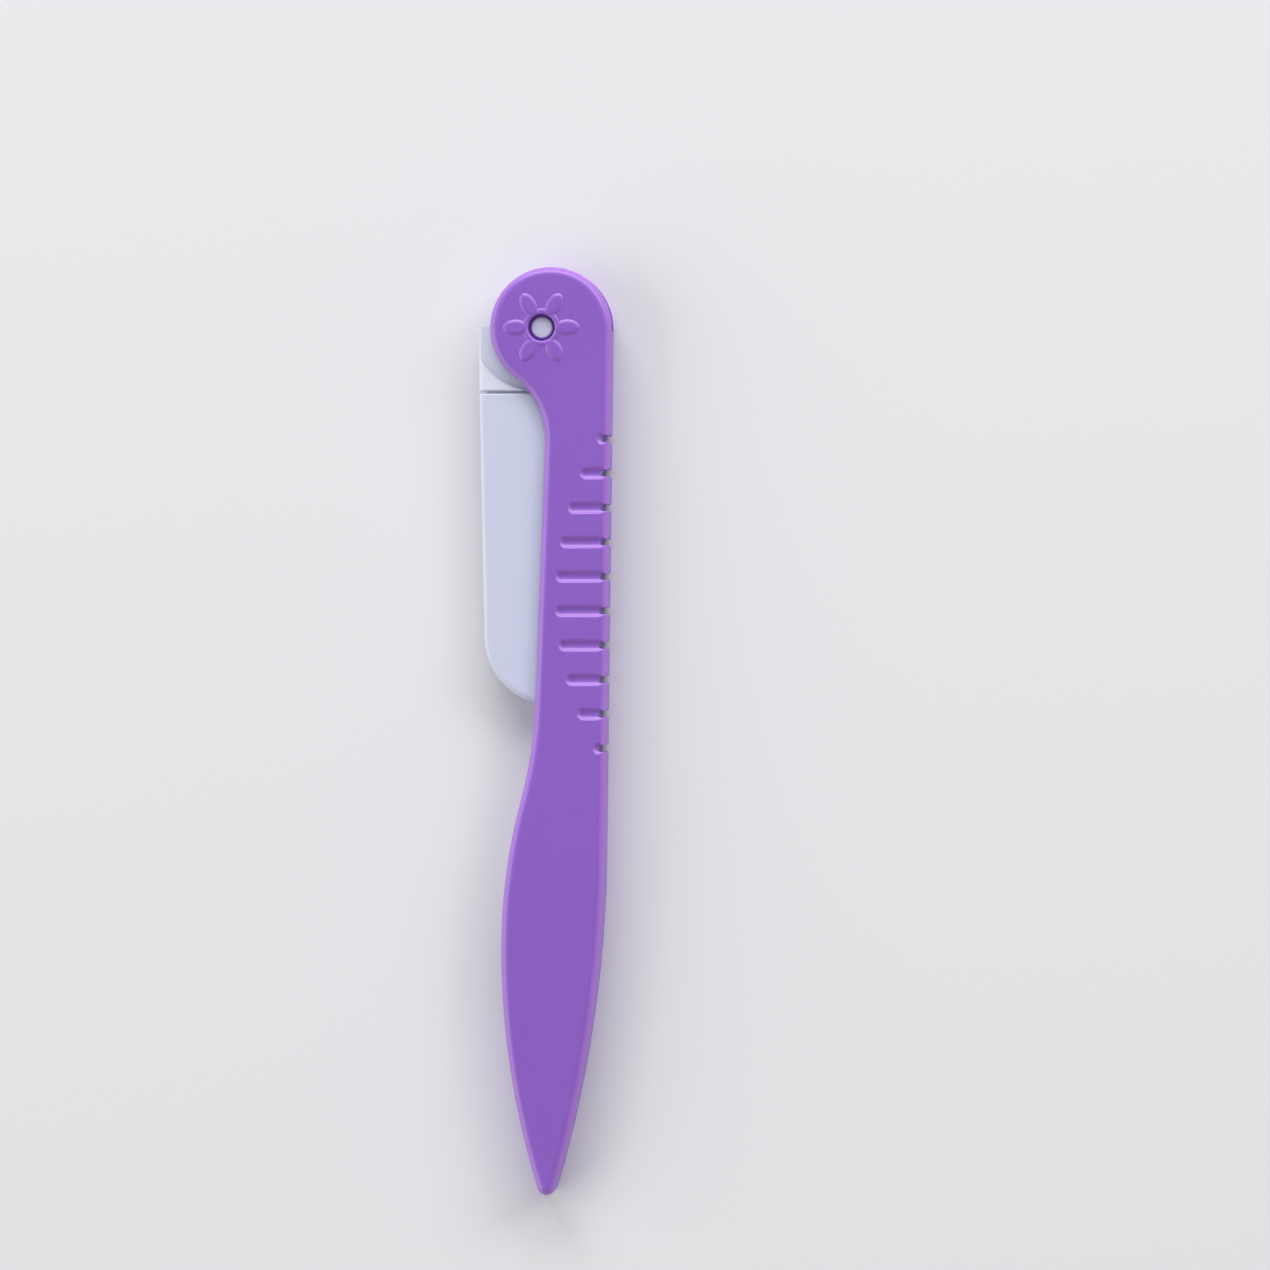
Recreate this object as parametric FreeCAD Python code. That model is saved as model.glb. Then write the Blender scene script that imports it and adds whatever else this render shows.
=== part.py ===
import FreeCAD, Part
import math
import os

# Folding eyebrow razor, folded, with its cap on. Millimetres.
# X points from the blade's back towards the handle's back, Y from the tail to the head, and Z up from the
# handle's flat underside. The pivot axis is X = 0, Y = 0.

# Handle: a flat moulding with a round head, a ribbed grip and a leaf-shaped tail
HANDLE_THICKNESS = 5.0
HEAD_RADIUS = 6.55
HEAD_OFFSET = 0.9           # the head's centre stands behind the pivot
GRIP_WIDTH = 6.9            # just under the head
BACK_LEAN_DEG = 0.7         # the back edge leans in towards the tail
GRIP_LEAN_DEG = 2.2         # the grip's front edge leans out towards the tail
NECK_RADIUS = 8.5           # hollow between head and grip
WAIST_RADIUS = 45.0         # hollow between grip and belly
BELLY_RADIUS = 62.0
BELLY_WIDTH = 11.9          # from the head's back to the fullest point
BELLY_TO_TIP = 26.5
BACK_CURVE_LENGTH = 36.5    # stretch of the back that curves in to the tip
TIP_SETBACK = 7.0           # from the head's back to the tip
TIP_NOSE = 0.05             # tip radius of the flat faces, inside the rounded edge
EDGE_ROUND = 0.95
TAIL_LENGTH = 19.25         # solid tail past the end of the slot

# Flower in relief round the pivot, with a round recess over the pin's end
ROSETTE_HEIGHT = 0.16
ROSETTE_ROUND = 0.55        # of its upper edge, more than its height, so that it swells out of the face
RECESS_STEP = 0.3           # gap round the pin's end
RECESS_DEPTH = 0.9          # below the ear's face
RECESS_ROUND = 0.35         # of the recess's mouth
RING_WIDTH = 0.65
RING_DROP = 0.05            # the ring's top below the petals'
PETAL_COUNT = 6
PETAL_LENGTH = 2.7          # of the whole oval, whose inner end lies in the ring
PETAL_WIDTH = 1.7
PETAL_REACH = 2.05          # past the ring

# Grip ribs: grooves cut in from the back edge, with their inner ends on an arc
RIB_COUNT = 10
RIB_PITCH = 3.7
RIB_CENTRE = 28.65          # below the pivot
RIB_REACH = 5.8             # longest groove, from the back edge
RIB_SHORT = 1.5             # first and last groove
GROOVE_DEPTH = 0.32
GROOVE_FLOOR_RADIUS = 0.8
GROOVE_LIP_RADIUS = 0.35
NOTCH_DEPTH = 0.9           # where a groove crosses the back edge
NOTCH_FLOOR_RADIUS = 0.4
NOTCH_LIP_RADIUS = 0.3
LIP_RISE = 0.03             # a lip's crown above the face, so that lip and face meet at an angle

# Pivot pin, pressed into both ears
PIN_RADIUS = 1.15
PIN_SEAT_DEPTH = 0.9        # how far it goes into the lower ear
PIN_RISE = 0.4              # of its end above the recess's floor
PIN_CHAMFER = 0.12

# Blade unit: the holder's block and the cap share one outline
UNIT_THICKNESS = 2.3        # midway across
UNIT_CROWN = 0.36           # swell of each face
UNIT_OUTER = 6.95           # from the pivot to the blade's back
UNIT_INNER = 2.6            # from the pivot to the cap's inner edge
UNIT_ROUND = 0.6
TONGUE_THICKNESS = 1.4
TONGUE_RADIUS = 5.2
BLOCK_TOP = 0.25            # top of the block above the pivot axis
BLOCK_CORNER = 0.5
BLOCK_CUSP = 1.2            # where the block thins out between its recess and the seam
SEAM_GAP = 0.3              # between block and cap
SEAM_ROUND = 0.15           # of the edges that face each other across the seam

# Cap
CAP_LENGTH = 33.6
CAP_WALL = 0.6
CAP_TAPER_DEG = 1.2
CAP_TIP_RADIUS = 7.4
CAP_NOSE = 0.5              # corner radius of the flat faces, inside the rounded edge
CAP_FREE = 0.3              # between the blade's end and the cap when it is off

# Carrier, blade and edge guard, inside the cap
CARRIER_ROUND = 0.25
CARRIER_ROOT = 2.0          # overlap of carrier and block
CATCH_RADIUS = 0.4          # half-round ribs that the cap grips on
CATCH_LENGTH = 3.2
CATCH_DROP = 2.4            # below the seam
BLADE_THICKNESS = 0.3
BLADE_EDGE_THICKNESS = 0.04
BLADE_BEVEL = 1.2
BLADE_SHOW = 2.1            # width of blade in front of the carrier
BLADE_HOLD = 2.8            # width of blade inside the carrier
BLADE_START = 1.5           # below the seam
BLADE_END_COVER = 2.4       # plastic past the blade's end
BLADE_CORNER = 0.6
ANCHOR_RADIUS = 0.7         # holes in the blade that the carrier's plastic fills
ANCHOR_COUNT = 3
ANCHOR_PITCH = 9.0
GUARD_THICKNESS = 0.12
GUARD_WIDTH = 1.7
GUARD_NOSE_GAP = 0.03       # between the cutting edge and the guard's fold
GUARD_SLOT = 0.45
GUARD_SLOT_REACH = 1.15
GUARD_PITCH = 0.9
GUARD_END_MARGIN = 0.9      # blade past each end of the guard

# Clearances
TONGUE_SIDE_CLEARANCE = 0.1     # between tongue and ears
UNIT_SIDE_CLEARANCE = 0.2       # between block or cap and the slot's walls
PIN_CLEARANCE = 0.05            # between pin and tongue
PAD_CLEARANCE = 0.2             # between the ears' rims and the block
FOLD_CLEARANCE = 0.25           # between the folded cap and the slot's floor
STOP_CLEARANCE = 0.1            # between the tongue's shoulder and its stop when open
SOCKET_CLEARANCE = 0.2          # round the tongue's round end
CAP_CLEARANCE = 0.15            # between cap and carrier
CATCH_CLEARANCE = 0.05          # between the catches and the cap
GUARD_CLEARANCE = 0.15          # between edge guard and cap
SLOT_END_CLEARANCE = 0.4        # between the cap, pulled off, and the slot's end
OVERRUN = 5.0                   # how far cutting solids run past what they cut
LEVEL_TOLERANCE = 0.001         # for finding edges by their place

# Levels
MID = HANDLE_THICKNESS / 2
EAR = MID - TONGUE_THICKNESS / 2 - TONGUE_SIDE_CLEARANCE
WALL = MID - UNIT_THICKNESS / 2 - UNIT_SIDE_CLEARANCE
UNIT_LOW = MID - UNIT_THICKNESS / 2
UNIT_HIGH = MID + UNIT_THICKNESS / 2
TONGUE_LOW = MID - TONGUE_THICKNESS / 2
TONGUE_HIGH = MID + TONGUE_THICKNESS / 2
CARRIER_INSET = CAP_WALL + CAP_CLEARANCE
CARRIER_LOW = UNIT_LOW + CARRIER_INSET
CARRIER_HIGH = UNIT_HIGH - CARRIER_INSET
RECESS_FLOOR = HANDLE_THICKNESS - RECESS_DEPTH
PIN_LOW = EAR - PIN_SEAT_DEPTH
PIN_HIGH = RECESS_FLOOR + PIN_RISE
ROSETTE_TOP = HANDLE_THICKNESS + ROSETTE_HEIGHT

# Places along the razor, downwards from the pivot
SEAM_Y = -(HEAD_RADIUS + PAD_CLEARANCE)
CAP_TOP = SEAM_Y - SEAM_GAP
CAP_END = CAP_TOP - CAP_LENGTH
CARRIER_END = CAP_END + CARRIER_INSET
CAP_TRAVEL = CAP_TOP - CARRIER_END + CAP_FREE
SLOT_END = CAP_END - CAP_TRAVEL - SLOT_END_CLEARANCE
TIP_Y = SLOT_END - TAIL_LENGTH
BLADE_TOP = SEAM_Y - BLADE_START
BLADE_END = CARRIER_END + BLADE_END_COVER
STOP_Y = -(BLOCK_TOP + STOP_CLEARANCE)

# Places across the razor
BACK_X = HEAD_OFFSET + HEAD_RADIUS
SLOT_FLOOR = UNIT_INNER + FOLD_CLEARANCE
GUARD_EDGE = UNIT_INNER - CAP_WALL - GUARD_CLEARANCE
BLADE_EDGE = GUARD_EDGE - GUARD_THICKNESS - GUARD_NOSE_GAP
CARRIER_EDGE = BLADE_EDGE - BLADE_SHOW
BLADE_BACK = CARRIER_EDGE - BLADE_HOLD
OUTSIDE = UNIT_OUTER + OVERRUN

TIP_RADIUS = EDGE_ROUND + TIP_NOSE
CAP_CORNER = UNIT_ROUND + CAP_NOSE
RECESS_RADIUS = PIN_RADIUS + RECESS_STEP
RING_RADIUS = RECESS_RADIUS + RING_WIDTH
# How far the rounded edge of the relief, carried on below the face, stands outside its outline there
ROSETTE_FLARE = ROSETTE_ROUND - math.sqrt(ROSETTE_HEIGHT * (2 * ROSETTE_ROUND - ROSETTE_HEIGHT))
UNIT_HALF = (UNIT_OUTER + UNIT_INNER) / 2
CROWN_RADIUS = (UNIT_HALF ** 2 + UNIT_CROWN ** 2) / (2 * UNIT_CROWN)
ORIGIN = FreeCAD.Vector(0, 0, 0)
ALONG = FreeCAD.Vector(0, 1, 0)
UP = FreeCAD.Vector(0, 0, 1)


def point(x, y, z=0):
    return FreeCAD.Vector(x, y, z)


def unit(vector):
    """The vector's direction, one long."""
    return vector / vector.Length


def line(start, end):
    return Part.LineSegment(start, end).toShape()


def arc_through(start, middle, end):
    return Part.Arc(start, middle, end).toShape()


def arc(centre, start, end, far_side=False):
    """Arc about centre from start to end, the short way round or, on the far side, the long way."""
    radius = (start - centre).Length
    middle = unit((start - centre) + (end - centre))
    if far_side:
        middle = -middle
    return arc_through(start, centre + middle * radius, end)


def outline_face(edges):
    return Part.Face(Part.Wire(edges))


def prism(edges, low, high):
    """Solid between two levels whose outline is the edges, given in order."""
    face = outline_face(edges)
    face.translate(point(0, 0, low))
    return face.extrude(point(0, 0, high - low))


def box(x_low, x_high, y_low, y_high, z_low, z_high):
    return Part.makeBox(x_high - x_low, y_high - y_low, z_high - z_low, point(x_low, y_low, z_low))


def disc(x, y, radius, low, high):
    return Part.makeCylinder(radius, high - low, point(x, y, low), UP)


def edges_at_level(solid, level):
    low = level - LEVEL_TOLERANCE
    high = level + LEVEL_TOLERANCE
    return [e for e in solid.Edges if e.BoundBox.ZMin > low and e.BoundBox.ZMax < high]


def edges_across(solid, y):
    """Edges in the plane that crosses the razor at y."""
    low = y - LEVEL_TOLERANCE
    high = y + LEVEL_TOLERANCE
    return [e for e in solid.Edges if e.BoundBox.YMin > low and e.BoundBox.YMax < high]


def hollow_centre(start, direction, outward, hollow_radius, centre, radius, beyond):
    """Centre of the circle that touches a line and another circle, both from outside.

    It touches the line past the other circle's centre if beyond is true, and before it if not.
    """
    base = start + outward * hollow_radius
    away = base - centre
    along = away.dot(direction)
    root = math.sqrt(along ** 2 - away.dot(away) + (radius + hollow_radius) ** 2)
    return base + direction * (root - along if beyond else -root - along)


def back_edge():
    """Where the straight back edge leaves the head, its direction down and its outward normal."""
    lean = math.radians(BACK_LEAN_DEG)
    outward = point(math.cos(lean), -math.sin(lean))
    down = point(-math.sin(lean), -math.cos(lean))
    return point(HEAD_OFFSET, 0) + outward * HEAD_RADIUS, down, outward


def back_edge_x(y):
    start, down, _ = back_edge()
    return start.x + down.x / down.y * (y - start.y)


def handle_outline():
    """Edges of the handle's outline, clockwise from the neck: lines and arcs, each tangent to the next."""
    head = point(HEAD_OFFSET, 0)
    lean = math.radians(GRIP_LEAN_DEG)
    grip = point(BACK_X - GRIP_WIDTH, -HEAD_RADIUS)
    grip_down = point(-math.sin(lean), -math.cos(lean))
    grip_out = point(-math.cos(lean), math.sin(lean))

    neck = hollow_centre(grip, grip_down, grip_out, NECK_RADIUS, head, HEAD_RADIUS, beyond=True)
    head_end = head + unit(neck - head) * HEAD_RADIUS
    grip_top = neck - grip_out * NECK_RADIUS

    # The back runs straight, then curves in on one arc that touches the tip's own arc.
    back_start, back_down, back_out = back_edge()
    tip = point(BACK_X - TIP_SETBACK, TIP_Y + TIP_RADIUS)
    straight = (back_start.y - TIP_Y - BACK_CURVE_LENGTH) / -back_down.y
    curve_start = back_start + back_down * straight
    from_tip = curve_start - tip
    back_radius = (from_tip.dot(from_tip) - TIP_RADIUS ** 2) / (2 * (from_tip.dot(back_out) - TIP_RADIUS))
    back_centre = curve_start - back_out * back_radius
    tip_back = tip + unit(tip - back_centre) * TIP_RADIUS

    # The tail's front edge is one arc from the tip to the belly's fullest point, where it runs along Y.
    fullest = point(BACK_X - BELLY_WIDTH, TIP_Y + BELLY_TO_TIP)
    from_tip = fullest - tip
    tail_radius = (from_tip.dot(from_tip) - TIP_RADIUS ** 2) / (2 * (-from_tip.x - TIP_RADIUS))
    tail_centre = fullest + point(tail_radius, 0)
    tip_front = tip + unit(tip - tail_centre) * TIP_RADIUS

    belly = fullest + point(BELLY_RADIUS, 0)
    waist = hollow_centre(grip, grip_down, grip_out, WAIST_RADIUS, belly, BELLY_RADIUS, beyond=False)
    belly_top = belly + unit(waist - belly) * BELLY_RADIUS
    grip_end = waist - grip_out * WAIST_RADIUS

    return [
        arc(head, head_end, back_start, far_side=True),
        line(back_start, curve_start),
        arc(back_centre, curve_start, tip_back),
        arc(tip, tip_back, tip_front),
        arc(tail_centre, tip_front, fullest),
        arc(belly, fullest, belly_top),
        arc(waist, belly_top, grip_end),
        line(grip_end, grip_top),
        arc(neck, grip_top, head_end),
    ]


def groove_cutter(depth, floor_radius, lip_radius, length, closed):
    """Cutter for a groove along +X from the origin, in a face at Z = 0, and half the groove's width.

    Its section has a hollow floor between two rounded lips. A closed end is the half section, turned.
    """
    reach = floor_radius + lip_radius
    floor = point(0, 0, floor_radius - depth)
    lip_level = LIP_RISE - lip_radius
    half = math.sqrt(reach ** 2 - (floor.z - lip_level) ** 2)
    lip = point(0, half, lip_level)
    lip_crown = point(0, half, LIP_RISE)
    meeting = floor + unit(lip - floor) * floor_radius
    bottom = point(0, 0, -depth)
    top = point(0, 0, OVERRUN)
    top_side = point(0, half, OVERRUN)
    half_section = outline_face([
        arc(floor, bottom, meeting),
        arc(lip, meeting, lip_crown),
        line(lip_crown, top_side),
        line(top_side, top),
        line(top, bottom),
    ])
    half_run = half_section.extrude(point(length, 0))
    cutter = half_run.fuse(half_run.mirror(ORIGIN, ALONG))
    if closed:
        cutter = cutter.fuse(half_section.revolve(ORIGIN, UP, 180))
    return cutter.removeSplitter(), half


def rib_cutters():
    """A groove in both faces and a notch across the back edge for each rib."""
    half_span = (RIB_COUNT - 1) * RIB_PITCH / 2
    rise = RIB_REACH - RIB_SHORT
    arc_radius = (half_span ** 2 + rise ** 2) / (2 * rise)
    cutters = []
    for rib in range(RIB_COUNT):
        offset = half_span - rib * RIB_PITCH
        y = offset - RIB_CENTRE
        length = RIB_REACH - arc_radius + math.sqrt(arc_radius ** 2 - offset ** 2)
        run = length + OVERRUN
        front, half = groove_cutter(GROOVE_DEPTH, GROOVE_FLOOR_RADIUS, GROOVE_LIP_RADIUS, run, closed=True)
        back = front.copy()
        back.rotate(ORIGIN, point(1, 0), 180)
        inner_end = back_edge_x(y) - length + half
        front.translate(point(inner_end, y, HANDLE_THICKNESS))
        back.translate(point(inner_end, y))
        across = HANDLE_THICKNESS + 2 * OVERRUN
        notch, _ = groove_cutter(NOTCH_DEPTH, NOTCH_FLOOR_RADIUS, NOTCH_LIP_RADIUS, across, closed=False)
        notch.rotate(ORIGIN, ALONG, 90)
        notch.translate(point(back_edge_x(y), y, HANDLE_THICKNESS + OVERRUN))
        cutters += [front, back, notch]
    return cutters


def petal():
    """One oval petal along +X, with a rounded top edge."""
    middle = point(RING_RADIUS + PETAL_REACH - PETAL_LENGTH / 2, 0)
    half_length = PETAL_LENGTH / 2 + ROSETTE_FLARE
    half_width = PETAL_WIDTH / 2 + ROSETTE_FLARE
    oval = Part.Ellipse(middle, half_length, half_width).toShape()
    solid = prism([oval], ROSETTE_TOP - 2 * ROSETTE_ROUND, ROSETTE_TOP)
    return solid.makeFillet(ROSETTE_ROUND, edges_at_level(solid, ROSETTE_TOP))


def rosette():
    """Disc round the recess and the petals round the disc."""
    ring_top = ROSETTE_TOP - RING_DROP
    ring = disc(0, 0, RING_RADIUS + ROSETTE_FLARE, ring_top - 2 * ROSETTE_ROUND, ring_top)
    pieces = [ring.makeFillet(ROSETTE_ROUND, edges_at_level(ring, ring_top))]
    for number in range(PETAL_COUNT):
        leaf = petal()
        leaf.rotate(ORIGIN, UP, 360 / PETAL_COUNT * number)
        pieces.append(leaf)
    return pieces


def recess_cutter():
    """Round recess over the pin's end, turned from its half section, which flares to a rounded mouth."""
    mouth = RECESS_RADIUS + RECESS_ROUND
    wall_high = ROSETTE_TOP - RECESS_ROUND
    floor_middle = point(0, 0, RECESS_FLOOR)
    floor_edge = point(RECESS_RADIUS, 0, RECESS_FLOOR)
    wall_top = point(RECESS_RADIUS, 0, wall_high)
    mouth_edge = point(mouth, 0, ROSETTE_TOP)
    above_edge = point(mouth, 0, ROSETTE_TOP + OVERRUN)
    above_middle = point(0, 0, ROSETTE_TOP + OVERRUN)
    half_section = outline_face([
        line(floor_middle, floor_edge),
        line(floor_edge, wall_top),
        arc(point(mouth, 0, wall_high), wall_top, mouth_edge),
        line(mouth_edge, above_edge),
        line(above_edge, above_middle),
        line(above_middle, floor_middle),
    ])
    return half_section.revolve(ORIGIN, UP, 360)


def slot_cutters():
    """Space for the folded blade unit in the grip and belly, and for the tongue between the ears."""
    corner = CAP_CORNER + FOLD_CLEARANCE
    corner_centre = point(SLOT_FLOOR - corner, SLOT_END + corner)
    floor_end = point(SLOT_FLOOR, SLOT_END + corner)
    end_start = point(SLOT_FLOOR - corner, SLOT_END)
    slot = prism([
        line(point(-OUTSIDE, 0), point(SLOT_FLOOR, 0)),
        line(point(SLOT_FLOOR, 0), floor_end),
        arc(corner_centre, floor_end, end_start),
        line(end_start, point(-OUTSIDE, SLOT_END)),
        line(point(-OUTSIDE, SLOT_END), point(-OUTSIDE, 0)),
    ], WALL, HANDLE_THICKNESS - WALL)
    slot = slot.cut(disc(HEAD_OFFSET, 0, HEAD_RADIUS, 0, HANDLE_THICKNESS))

    gap_top = HANDLE_THICKNESS - EAR
    above = HEAD_RADIUS + OVERRUN
    folded_side = box(-OUTSIDE, SLOT_FLOOR, SEAM_Y, above, EAR, gap_top)
    open_side = box(0, BACK_X + OVERRUN, STOP_Y, above, EAR, gap_top)
    socket = disc(0, 0, TONGUE_RADIUS + SOCKET_CLEARANCE, EAR, gap_top)
    return [slot, folded_side, open_side, socket]


def handle():
    body = prism(handle_outline(), 0, HANDLE_THICKNESS)
    rim = edges_at_level(body, 0) + edges_at_level(body, HANDLE_THICKNESS)
    body = body.makeFillet(EDGE_ROUND, rim)
    pin_bore = disc(0, 0, PIN_RADIUS, PIN_LOW, HANDLE_THICKNESS)
    body = body.cut(slot_cutters() + rib_cutters())
    body = body.fuse(rosette()).cut([pin_bore, recess_cutter()])
    return body.removeSplitter()


def pivot_pin():
    pin = disc(0, 0, PIN_RADIUS, PIN_LOW, PIN_HIGH)
    ends = edges_at_level(pin, PIN_LOW) + edges_at_level(pin, PIN_HIGH)
    return pin.makeChamfer(PIN_CHAMFER, ends)


def sheath_outline(inset, top):
    """Outline of the cap from above, or of what lies the inset inside it, open end at the given top."""
    taper = math.radians(CAP_TAPER_DEG)
    back_out = point(-math.cos(taper), -math.sin(taper))
    tip = point(0, CAP_END + CAP_TIP_RADIUS)
    tip.x = -UNIT_OUTER + (CAP_TOP - tip.y) * math.tan(taper) + CAP_TIP_RADIUS / math.cos(taper)
    tip_radius = CAP_TIP_RADIUS - inset
    corner_radius = CAP_CORNER - inset
    inner = UNIT_INNER - inset
    end = CAP_END + inset
    corner = point(inner - corner_radius, end + corner_radius)
    back_end = tip + back_out * tip_radius
    back_top = point(back_end.x - (top - back_end.y) * math.tan(taper), top)
    end_start = point(tip.x, end)
    end_stop = point(corner.x, end)
    inner_end = point(inner, corner.y)
    inner_top = point(inner, top)
    return [
        line(back_top, back_end),
        arc(tip, back_end, end_start),
        line(end_start, end_stop),
        arc(corner, end_stop, inner_end),
        line(inner_end, inner_top),
        line(inner_top, back_top),
    ]


def crown_bar():
    """Long bar whose upper and lower faces swell, highest midway across the blade unit."""
    middle = (UNIT_INNER - UNIT_OUTER) / 2
    reach = UNIT_HALF + UNIT_ROUND
    drop = CROWN_RADIUS - math.sqrt(CROWN_RADIUS ** 2 - reach ** 2)
    y = CAP_END - OVERRUN
    top_left = point(middle - reach, y, UNIT_HIGH - drop)
    top_right = point(middle + reach, y, UNIT_HIGH - drop)
    low_left = point(middle - reach, y, UNIT_LOW + drop)
    low_right = point(middle + reach, y, UNIT_LOW + drop)
    section = outline_face([
        arc_through(top_left, point(middle, y, UNIT_HIGH), top_right),
        line(top_right, low_right),
        arc_through(low_right, point(middle, y, UNIT_LOW), low_left),
        line(low_left, top_left),
    ])
    return section.extrude(point(0, BLOCK_TOP + OVERRUN - y))


def crown_edges(solid):
    """Edges round the swelling faces."""
    found = []
    for face in solid.Faces:
        surface = face.Surface
        if isinstance(surface, Part.Cylinder) and abs(surface.Radius - CROWN_RADIUS) < LEVEL_TOLERANCE:
            found += face.Edges
    return found


def safety_cap():
    outside = prism(sheath_outline(0, CAP_TOP), UNIT_LOW - OVERRUN, UNIT_HIGH + OVERRUN).common(crown_bar())
    rim = [e for e in crown_edges(outside) if e.BoundBox.YMin < CAP_TOP - LEVEL_TOLERANCE]
    outside = outside.makeFillet(UNIT_ROUND, rim)
    outside = outside.makeFillet(SEAM_ROUND, edges_across(outside, CAP_TOP))
    hollow = prism(sheath_outline(CAP_WALL, CAP_TOP + OVERRUN), UNIT_LOW + CAP_WALL, UNIT_HIGH - CAP_WALL)
    return outside.cut(hollow)


def blade():
    """Thin strip, ground to an edge on its inner side, with round holes along its middle."""
    half = BLADE_THICKNESS / 2
    half_edge = BLADE_EDGE_THICKNESS / 2
    bevel = BLADE_EDGE - BLADE_BEVEL
    section = [
        point(BLADE_BACK, BLADE_END, MID - half),
        point(bevel, BLADE_END, MID - half),
        point(BLADE_EDGE, BLADE_END, MID - half_edge),
        point(BLADE_EDGE, BLADE_END, MID + half_edge),
        point(bevel, BLADE_END, MID + half),
        point(BLADE_BACK, BLADE_END, MID + half),
    ]
    edges = [line(a, b) for a, b in zip(section, section[1:] + section[:1])]
    strip = outline_face(edges).extrude(point(0, BLADE_TOP - BLADE_END))
    holes = []
    for number in range(ANCHOR_COUNT):
        y = (BLADE_TOP + BLADE_END) / 2 + (number - (ANCHOR_COUNT - 1) / 2) * ANCHOR_PITCH
        holes.append(disc((BLADE_BACK + CARRIER_EDGE) / 2, y, ANCHOR_RADIUS, UNIT_LOW, UNIT_HIGH))
    corner = point(BLADE_EDGE - BLADE_CORNER, BLADE_END + BLADE_CORNER)
    corner_box = box(corner.x, BLADE_EDGE, BLADE_END, corner.y, UNIT_LOW, UNIT_HIGH)
    corner_cut = corner_box.cut(disc(corner.x, corner.y, BLADE_CORNER, UNIT_LOW, UNIT_HIGH))
    return strip.cut(holes + [corner_cut])


def edge_guard():
    """Strip folded over the cutting edge, slotted like a comb."""
    inside = BLADE_THICKNESS / 2
    outside = inside + GUARD_THICKNESS
    fold = GUARD_EDGE - outside
    y_low = BLADE_END + GUARD_END_MARGIN
    y_high = BLADE_TOP - GUARD_END_MARGIN
    length = y_high - y_low

    def rounded_bar(half):
        flat = box(GUARD_EDGE - GUARD_WIDTH, fold, y_low, y_high, MID - half, MID + half)
        return flat.fuse(Part.makeCylinder(half, length, point(fold, y_low, MID), ALONG))

    strip = rounded_bar(outside).cut(rounded_bar(inside)).removeSplitter()
    count = math.floor((length - GUARD_SLOT) / GUARD_PITCH)
    first = y_low + (length - (count - 1) * GUARD_PITCH - GUARD_SLOT) / 2
    slot_start = GUARD_EDGE - GUARD_SLOT_REACH
    slots = []
    for number in range(count):
        low = first + number * GUARD_PITCH
        slots.append(box(slot_start, UNIT_INNER, low, low + GUARD_SLOT, UNIT_LOW, UNIT_HIGH))
    return strip.cut(slots)


def carrier():
    """Thin plate that holds the blade, with two half-round catches for the cap."""
    whole = prism(sheath_outline(CARRIER_INSET, SEAM_Y + CARRIER_ROOT), CARRIER_LOW, CARRIER_HIGH)
    plate = whole.common(box(-OUTSIDE, CARRIER_EDGE, CAP_END, 0, UNIT_LOW, UNIT_HIGH))
    rim = edges_at_level(plate, CARRIER_LOW) + edges_at_level(plate, CARRIER_HIGH)
    rim = [e for e in rim if e.BoundBox.YMin < SEAM_Y]
    plate = plate.makeFillet(CARRIER_ROUND, rim)
    height = CAP_CLEARANCE - CATCH_CLEARANCE
    middle = (CARRIER_EDGE - UNIT_OUTER) / 2
    catches = []
    for level in (CARRIER_HIGH + height - CATCH_RADIUS, CARRIER_LOW - height + CATCH_RADIUS):
        place = point(middle - CATCH_LENGTH / 2, SEAM_Y - CATCH_DROP, level)
        catches.append(Part.makeCylinder(CATCH_RADIUS, CATCH_LENGTH, place, point(1, 0)))
    return plate.fuse(catches)


def blade_holder():
    """Block with a round recess for the ears on each face, the tongue on the pin and the carrier."""
    below = UNIT_LOW - OVERRUN
    above = UNIT_HIGH + OVERRUN
    plan = box(-UNIT_OUTER, UNIT_INNER, SEAM_Y, BLOCK_TOP, below, above)
    bar = plan.common(crown_bar())
    outer_limit = LEVEL_TOLERANCE - UNIT_OUTER
    outer = [e for e in crown_edges(bar) if e.BoundBox.XMax < outer_limit]
    corner = [e for e in plan.Edges
              if e.BoundBox.XMax < outer_limit and e.BoundBox.YMin > BLOCK_TOP - LEVEL_TOLERANCE]
    bar = bar.makeFillet(UNIT_ROUND, outer)
    seam = [e for e in edges_across(bar, SEAM_Y) if e.BoundBox.XMin < UNIT_INNER - LEVEL_TOLERANCE]
    block = bar.makeFillet(SEAM_ROUND, seam).common(plan.makeFillet(BLOCK_CORNER, corner))
    recess_radius = HEAD_RADIUS + PAD_CLEARANCE
    thin_from = -HEAD_OFFSET - BLOCK_CUSP
    for low, high in ((below, TONGUE_LOW), (TONGUE_HIGH, above)):
        recess = disc(-HEAD_OFFSET, 0, recess_radius, low, high)
        block = block.cut([recess, box(thin_from, UNIT_INNER, SEAM_Y, BLOCK_TOP, low, high)])
    tongue = disc(0, 0, TONGUE_RADIUS, TONGUE_LOW, TONGUE_HIGH)
    bore = disc(0, 0, PIN_RADIUS + PIN_CLEARANCE, UNIT_LOW, UNIT_HIGH)
    return block.fuse([tongue, carrier()]).removeSplitter().cut([bore, blade()])


def main():
    os.makedirs("parts", exist_ok=True)
    nodes = {
        "handle": handle(),
        "pivot_pin": pivot_pin(),
        "blade_holder": blade_holder(),
        "blade": blade(),
        "edge_guard": edge_guard(),
        "safety_cap": safety_cap(),
    }
    for name, shape in nodes.items():
        shape.exportStep(f"parts/{name}.step")
        print(name, "solids", len(shape.Solids), "valid", shape.isValid(), "volume", round(shape.Volume, 2))
    print("overall length", round(HEAD_RADIUS - TIP_Y, 2), "cap travel", round(CAP_TRAVEL, 2))


main()
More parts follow.
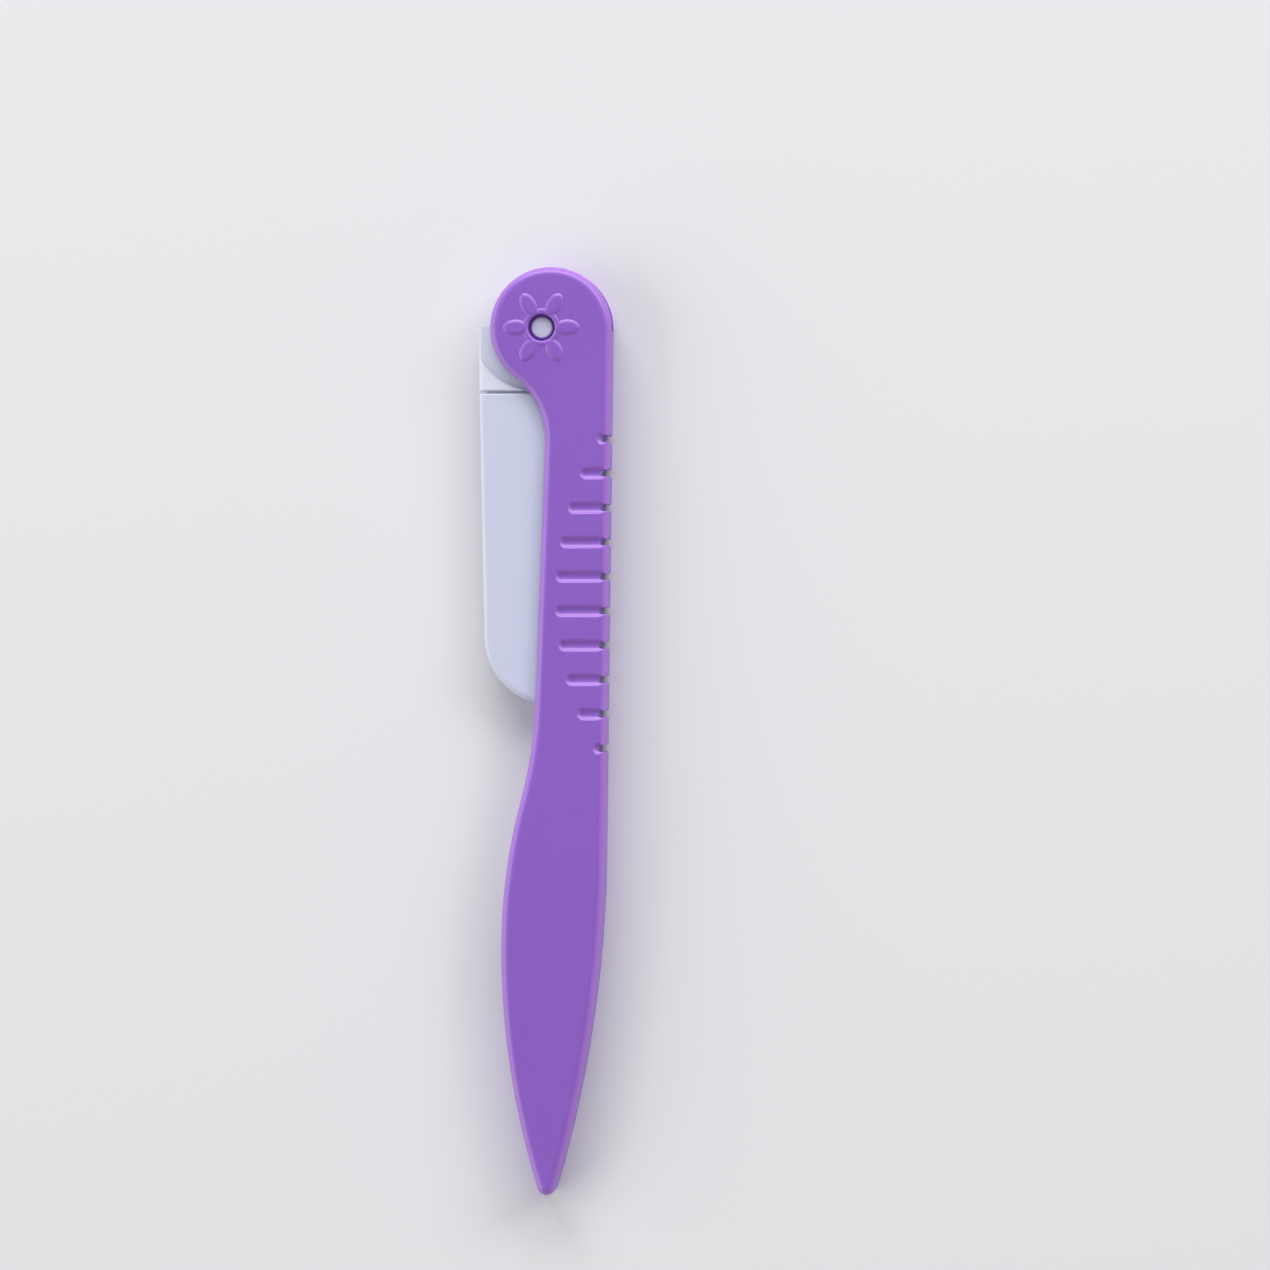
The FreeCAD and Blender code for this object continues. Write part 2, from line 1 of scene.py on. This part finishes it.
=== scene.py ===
# %% [markdown]
# # A folding eyebrow razor
#
# The razor is a flat purple handle with a round head, a white blade unit that swings out of it on a pin,
# and a white cap that slides over the blade. Every shape is a moulded or stamped piece with exact fits, so
# all of them come from the solid model, and this lesson gives them what a solid model lacks: plastic that
# looks moulded, steel that looks ground, and light that shows the round edges.

# %% Load the frame
import bpy
import math
import numpy as np
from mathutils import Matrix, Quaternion, Vector


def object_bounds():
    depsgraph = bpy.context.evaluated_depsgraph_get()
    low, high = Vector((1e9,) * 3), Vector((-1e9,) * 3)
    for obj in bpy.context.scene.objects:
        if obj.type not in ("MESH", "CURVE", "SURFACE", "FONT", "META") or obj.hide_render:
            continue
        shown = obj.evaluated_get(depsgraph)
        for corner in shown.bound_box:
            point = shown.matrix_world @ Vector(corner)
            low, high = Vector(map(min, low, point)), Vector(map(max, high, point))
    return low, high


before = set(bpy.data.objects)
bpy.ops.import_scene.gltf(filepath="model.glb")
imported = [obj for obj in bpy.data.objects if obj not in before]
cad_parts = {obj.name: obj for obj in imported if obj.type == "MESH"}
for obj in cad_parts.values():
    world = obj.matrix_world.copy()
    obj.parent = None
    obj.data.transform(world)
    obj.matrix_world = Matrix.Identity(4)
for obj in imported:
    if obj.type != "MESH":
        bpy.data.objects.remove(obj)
cad_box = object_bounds()
MM = 0.001
print("nodes", sorted(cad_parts), "size in mm", [round(x / MM, 2) for x in cad_box[1] - cad_box[0]])

# %% [markdown]
# ## Small tools
#
# Colours are easiest to compare with a picture as sRGB hex values, but a shader mixes light, so it wants
# linear ones. Node trees get long when each node takes four lines, so one function adds a node with its
# settings and its links, and another starts a material. Textures count their cycles per metre, so the last
# function works that out from a size in millimetres.


# %% Colour and node helpers
def linear(hex_colour):
    """sRGB hex colour as linear red, green, blue and an alpha of 1, by the sRGB standard's curve."""
    srgb = np.array([int(hex_colour[i:i + 2], 16) for i in (1, 3, 5)]) / 255
    rgb = np.where(srgb <= 0.04045, srgb / 12.92, ((srgb + 0.055) / 1.055) ** 2.4)
    return (*rgb.tolist(), 1.0)


def add_node(tree, kind, inputs=None, **settings):
    """Add a node. Settings go on the node itself, inputs on its sockets, as a link or as a plain value."""
    made = tree.nodes.new(kind)
    for name, value in settings.items():
        setattr(made, name, value)
    for name, value in (inputs or {}).items():
        if isinstance(value, bpy.types.NodeSocket):
            tree.links.new(value, made.inputs[name])
        else:
            made.inputs[name].default_value = value
    return made


def start_material(name):
    """Empty material with its node tree, its output node and the object's own places and normals."""
    material = bpy.data.materials.new(name)
    material.use_nodes = True
    tree = material.node_tree
    tree.nodes.clear()
    output = add_node(tree, "ShaderNodeOutputMaterial")
    own = add_node(tree, "ShaderNodeTexCoord").outputs
    return material, tree, output, own


def per_mm(size_mm):
    """Texture scale, in cycles per metre, that makes one feature the given number of millimetres wide."""
    return 1 / (size_mm * MM)


print("half grey is", round(linear("#808080")[0], 3), "in linear light")

# %% [markdown]
# ## Moulded plastic
#
# Plastic leaves the mould with the mould's own finish: smooth, with a faint ripple like orange peel and a
# slow drift of colour where the melt flowed. Light goes in and comes out beside where it went in, which
# softens thin edges and fills small shadows. All the plastics here share this, so one function makes them
# and the numbers tell them apart. The handle is thick, so light spreads well in it. The white pieces have
# thin walls, where much spreading would lose light to the inside and turn them grey, so theirs is slight.
# Round edges are painted paler than the flats, as a painted highlight for the light that shines on them. A
# vertex colour could mark them, but the surface's own direction already tells where they are, so the shader
# reads that.


# %% Plastic finish
MIX_FACTOR, MIX_A, MIX_B, MIX_RESULT = 0, 6, 7, 2
FLOW_WIDTH_MM = 14.0
PEEL_WIDTH_MM = 0.55
PEEL_HEIGHT_MM = 0.0035
# Real rubbing marks are finer than this. They are drawn as coarse as they need to be to show.
SCUFF_WIDTH_MM = 0.22
SCUFF_STRETCH = 0.06
SCUFF_LOW, SCUFF_HIGH = 0.3, 0.7
SCUFF_ROUGHNESS = 0.02
# How far the surface points up or down: 1 on a level face, 0 on an upright wall. The painted highlight on
# round edges lies between these bounds.
LEVEL, OFF_LEVEL = 0.99, 0.77
UPRIGHT, OFF_UPRIGHT = 0.05, 0.4
# Red and blue light spread further in these plastics than green.
SPREAD_BY_COLOUR = (1.0, 0.7, 1.0)


def moulded_plastic(name, dark, light, edge_highlight, roughness, ior, glow, glow_mm):
    """Plastic between two colours, with a painted highlight on its round edges, flow, peel and light that
    spreads.
    """
    material, tree, output, own = start_material(name)
    place = own["Object"]
    flow = add_node(tree, "ShaderNodeTexNoise", {
        "Vector": place, "Scale": per_mm(FLOW_WIDTH_MM), "Detail": 3.0,
    })
    skin = add_node(tree, "ShaderNodeMix", {
        MIX_FACTOR: flow.outputs["Fac"], MIX_A: linear(dark), MIX_B: linear(light),
    }, data_type="RGBA")

    # Round edges lie where the surface is neither level nor upright, and there the colour is lightened as a
    # painted highlight.
    facing = add_node(tree, "ShaderNodeSeparateXYZ", {"Vector": own["Normal"]})
    rise = add_node(tree, "ShaderNodeMath", {0: facing.outputs["Z"]}, operation="ABSOLUTE")
    not_level = add_node(tree, "ShaderNodeMapRange", {
        "Value": rise.outputs["Value"], "From Min": LEVEL, "From Max": OFF_LEVEL,
    }, interpolation_type="SMOOTHSTEP")
    not_upright = add_node(tree, "ShaderNodeMapRange", {
        "Value": rise.outputs["Value"], "From Min": UPRIGHT, "From Max": OFF_UPRIGHT,
    }, interpolation_type="SMOOTHSTEP")
    edge = add_node(tree, "ShaderNodeMath", {
        0: not_level.outputs["Result"], 1: not_upright.outputs["Result"],
    }, operation="MULTIPLY")
    colour = add_node(tree, "ShaderNodeMix", {
        MIX_FACTOR: edge.outputs["Value"], MIX_A: skin.outputs[MIX_RESULT], MIX_B: linear(edge_highlight),
    }, data_type="RGBA")

    # Rubbing marks run along the piece, so their noise is stretched along Y.
    along = add_node(tree, "ShaderNodeMapping", {"Vector": place, "Scale": (1.0, SCUFF_STRETCH, 1.0)})
    scuffs = add_node(tree, "ShaderNodeTexNoise", {
        "Vector": along.outputs["Vector"], "Scale": per_mm(SCUFF_WIDTH_MM), "Detail": 4.0,
    })
    rough = add_node(tree, "ShaderNodeMapRange", {
        "Value": scuffs.outputs["Fac"], "From Min": SCUFF_LOW, "From Max": SCUFF_HIGH,
        "To Min": roughness - SCUFF_ROUGHNESS, "To Max": roughness + SCUFF_ROUGHNESS,
    })
    peel = add_node(tree, "ShaderNodeTexNoise", {
        "Vector": place, "Scale": per_mm(PEEL_WIDTH_MM), "Detail": 2.0,
    })
    bump = add_node(tree, "ShaderNodeBump", {
        "Strength": 1.0, "Distance": PEEL_HEIGHT_MM * MM, "Height": peel.outputs["Fac"],
    })
    shader = add_node(tree, "ShaderNodeBsdfPrincipled", {
        "Base Color": colour.outputs[MIX_RESULT], "Roughness": rough.outputs["Result"], "IOR": ior,
        "Normal": bump.outputs["Normal"], "Subsurface Weight": glow, "Subsurface Scale": glow_mm * MM,
        "Subsurface Radius": SPREAD_BY_COLOUR,
    })
    tree.links.new(shader.outputs["BSDF"], output.inputs["Surface"])
    return material


def dress(node, material):
    """Give a node its finish in place of the plain colour that it came with."""
    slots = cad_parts[node].material_slots
    slots[0].material = material
    print(node, "is", material.name)


# %% [markdown]
# ABS takes a full, even colour and a satin gloss, and it makes the handle and the blade holder. The handle's
# shine is set a little above that of plain ABS, to match its bright edges. Acetal is slippery with a waxy
# shine, which suits a pin that something turns on. Polypropylene is milky and a little duller than ABS, and
# it bends enough for a cap that has to grip.

# %% Plastic pieces
THIN_WALL = {"glow": 0.1, "glow_mm": 0.4}

# The third colour of each piece is painted on its round edges as a highlight.
dress("handle", moulded_plastic(
    "purple_abs", dark="#8f5fc8", light="#9566ce", edge_highlight="#ae75da",
    roughness=0.34, ior=1.58, glow=0.4, glow_mm=0.8,
))
dress("blade_holder", moulded_plastic(
    "white_abs", dark="#dce1f0", light="#e2e6f4", edge_highlight="#e0e4f2",
    roughness=0.42, ior=1.53, **THIN_WALL,
))
# The pin's colours are greyer than the holder's white. This paints in the shade of the recess that the pin
# sits in.
dress("pivot_pin", moulded_plastic(
    "white_acetal", dark="#c4c2dc", light="#cac8e0", edge_highlight="#d0cee4",
    roughness=0.36, ior=1.48, **THIN_WALL,
))
dress("safety_cap", moulded_plastic(
    "milky_polypropylene", dark="#ccd1e8", light="#d2d7ec", edge_highlight="#dce1f2",
    roughness=0.4, ior=1.49, **THIN_WALL,
))

# %% [markdown]
# ## Ground steel
#
# The blade is stainless strip, and rolling leaves faint lines along it. The guard is thinner strip, stamped
# and folded, so it is a little brighter and smoother. Metal has no colour of its own under the shine, so
# all the detail is in how rough the shine is.


# %% Steel finish
# Real rolling lines are finer than this. They are drawn as coarse as they need to be to show.
LINE_WIDTH_MM = 0.05
LINE_STRETCH = 0.02
LINE_HEIGHT_MM = 0.0006
LINE_LOW, LINE_HIGH = 0.25, 0.75
LINE_SMOOTHER, LINE_ROUGHER = 0.07, 0.09


def ground_steel(name, colour, roughness):
    """Stainless steel with fine lines: noise stretched along Y drives the roughness and a very low bump."""
    material, tree, output, own = start_material(name)
    along = add_node(tree, "ShaderNodeMapping", {
        "Vector": own["Object"], "Scale": (1.0, LINE_STRETCH, 1.0),
    })
    lines = add_node(tree, "ShaderNodeTexNoise", {
        "Vector": along.outputs["Vector"], "Scale": per_mm(LINE_WIDTH_MM), "Detail": 3.0,
    })
    rough = add_node(tree, "ShaderNodeMapRange", {
        "Value": lines.outputs["Fac"], "From Min": LINE_LOW, "From Max": LINE_HIGH,
        "To Min": roughness - LINE_SMOOTHER, "To Max": roughness + LINE_ROUGHER,
    })
    bump = add_node(tree, "ShaderNodeBump", {
        "Strength": 1.0, "Distance": LINE_HEIGHT_MM * MM, "Height": lines.outputs["Fac"],
    })
    shader = add_node(tree, "ShaderNodeBsdfPrincipled", {
        "Base Color": linear(colour), "Metallic": 1.0, "Roughness": rough.outputs["Result"],
        "Normal": bump.outputs["Normal"],
    })
    tree.links.new(shader.outputs["BSDF"], output.inputs["Surface"])
    return material


dress("blade", ground_steel("rolled_stainless_strip", "#c9ccd1", roughness=0.3))
dress("edge_guard", ground_steel("stamped_stainless_foil", "#d3d6da", roughness=0.24))

# %% [markdown]
# ## Table, light and camera
#
# The razor lies on its flat back on a pale table, and the camera looks down on it from a little to the
# right, so that a sliver of the handle's back edge shows. Three large soft panels stand round it: the
# strongest beyond the head, one to the upper right and one to the left. They brighten the round edges that
# face them and leave the far side of each groove in shade. The table is plain matt card, because a glossy
# one would mirror the panels.

# %% Table
TABLE_HALF = 1.2
TABLE_DROP_MM = 0.02
CARD_COLOUR = "#ececef"
CARD_ROUGHNESS = 0.95
CARD_SHINE = 0.1


def flat_sheet(name, half, level):
    """Square sheet as a grid of two parameters: x and y run from -half to half at one level."""
    side = np.linspace(-half, half, 2)
    x, y = np.meshgrid(side, side)
    points = np.stack([x, y, np.full_like(x, level)], axis=-1).reshape(-1, 3)
    corners_in_turn = (0, 1, 3, 2)
    mesh = bpy.data.meshes.new(name)
    mesh.from_pydata(points.tolist(), [], [corners_in_turn])
    sheet = bpy.data.objects.new(name, mesh)
    bpy.context.scene.collection.objects.link(sheet)
    return sheet


def matt_card():
    """Plain matt white card."""
    material, tree, output, _ = start_material("matt_white_card")
    shader = add_node(tree, "ShaderNodeBsdfPrincipled", {
        "Base Color": linear(CARD_COLOUR), "Roughness": CARD_ROUGHNESS, "Specular IOR Level": CARD_SHINE,
    })
    tree.links.new(shader.outputs["BSDF"], output.inputs["Surface"])
    return material


table = flat_sheet("table", TABLE_HALF, -TABLE_DROP_MM * MM)
table.data.materials.append(matt_card())
print("table", 2 * TABLE_HALF, "m wide,", TABLE_DROP_MM, "mm below the razor")

# %% [markdown]
# Wide, low panels light a flat glossy thing well. The camera sees the flat faces mirror the dim room above
# it, so they keep their full colour, while the round edges mirror a panel and shine. The room's own light
# comes from all sides, so it fades where a wall stands close, as it does on the cap beside the handle. Each
# panel's power comes from the level that it should give the flat faces, where 1 shows a colour as it is
# written. For a panel of radiance L and area A, seen at a height of sin(e), that level is
# L * A * sin(e) / (pi * distance squared), and its power is pi * A * L.

# %% Light
ROOM_COLOUR = "#ffffff"
ROOM_LEVEL = 0.34
PANEL_DISTANCE = 1.4


def light_panel(name, around_deg, height_deg, width, depth, face_level):
    """Rectangular light at a bearing and a height, as strong as its level on the flat faces asks."""
    height = math.radians(height_deg)
    away = Vector((math.cos(height), 0, math.sin(height)))
    away.rotate(Quaternion((0, 0, 1), math.radians(around_deg)))
    lamp = bpy.data.lights.new(name, "AREA")
    lamp.shape = "RECTANGLE"
    lamp.size = width
    lamp.size_y = depth
    lamp.energy = face_level * (math.pi * PANEL_DISTANCE) ** 2 / math.sin(height)
    light = bpy.data.objects.new(name, lamp)
    light.location = (cad_box[0] + cad_box[1]) / 2 + away * PANEL_DISTANCE
    light.rotation_euler = (-away).to_track_quat("-Z", "Y").to_euler()
    bpy.context.scene.collection.objects.link(light)
    print(name, round(lamp.energy, 2), "W")


light_panel("panel_beyond_head", around_deg=94.0, height_deg=30.0, width=1.2, depth=0.5, face_level=0.34)
light_panel("panel_upper_right", around_deg=44.0, height_deg=28.0, width=0.8, depth=0.5, face_level=0.16)
light_panel("panel_left", around_deg=190.0, height_deg=25.0, width=1.7, depth=0.9, face_level=0.19)
world = bpy.data.worlds.new("pale_room")
world.use_nodes = True
room = world.node_tree.nodes["Background"].inputs
room["Color"].default_value = linear(ROOM_COLOUR)
room["Strength"].default_value = ROOM_LEVEL
bpy.context.scene.world = world

# %% [markdown]
# The camera stands well back with a long lens, so that the near and far parts of the razor look alike in
# size. The lens follows from the width of table that the picture spans: focal length is to sensor width as
# distance is to that width.

# %% Camera
SENSOR_MM = 36.0
CAMERA_DISTANCE = 0.6
VIEW_FROM_RIGHT_DEG = 5.0
FRAME_WIDTH_MM = 137.0
AIM_MM = (9.9, -33.1, 2.5)

lens = bpy.data.cameras.new("camera")
lens.sensor_width = SENSOR_MM
lens.lens = SENSOR_MM * CAMERA_DISTANCE / (FRAME_WIDTH_MM * MM)
camera = bpy.data.objects.new("camera", lens)
tilt = math.radians(VIEW_FROM_RIGHT_DEG)
aim = Vector(AIM_MM) * MM
camera.location = aim + Vector((math.sin(tilt), 0, math.cos(tilt))) * CAMERA_DISTANCE
camera.rotation_euler = (0, tilt, 0)
bpy.context.scene.collection.objects.link(camera)
bpy.context.scene.camera = camera
bpy.context.scene.view_settings.view_transform = "Standard"
print("lens", round(lens.lens, 1), "mm")
